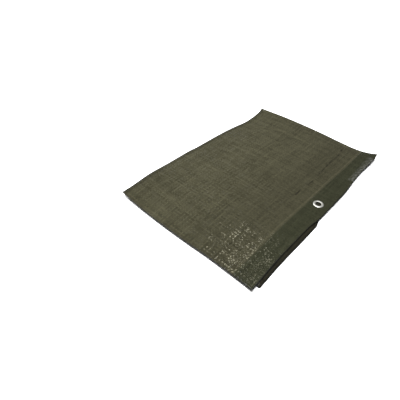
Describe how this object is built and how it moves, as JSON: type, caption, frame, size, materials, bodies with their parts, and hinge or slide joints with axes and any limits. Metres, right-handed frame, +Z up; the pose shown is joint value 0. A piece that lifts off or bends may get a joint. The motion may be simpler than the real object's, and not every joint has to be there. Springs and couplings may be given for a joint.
{
  "type": "folded tarpaulin",
  "caption": "Woven plastic tarpaulin folded to a flat rectangular pack, with a sewn hem and a metal eyelet along one long side.",
  "frame": {"origin": "on the ground under the middle of the pack's outline", "axes": "+Z up through the stack of folded layers, +Y along the pack towards its curled far fold, +X across it towards the hem with the eyelet"},
  "size_m": [0.3126, 0.4502, 0.0135],
  "materials": {
    "tarp_cloth": "woven plastic tape with a thin clear coating, low satin sheen",
    "tarp_hem": "doubled woven plastic, pressed smooth, low satin sheen",
    "eyelet_metal": "bright pressed metal with a dull grey bore"
  },
  "bodies": {
    "root": {"tarp_sheet": "tarp_cloth", "hem_strip": "tarp_hem", "eyelet": "eyelet_metal"}
  },
  "joints": []
}
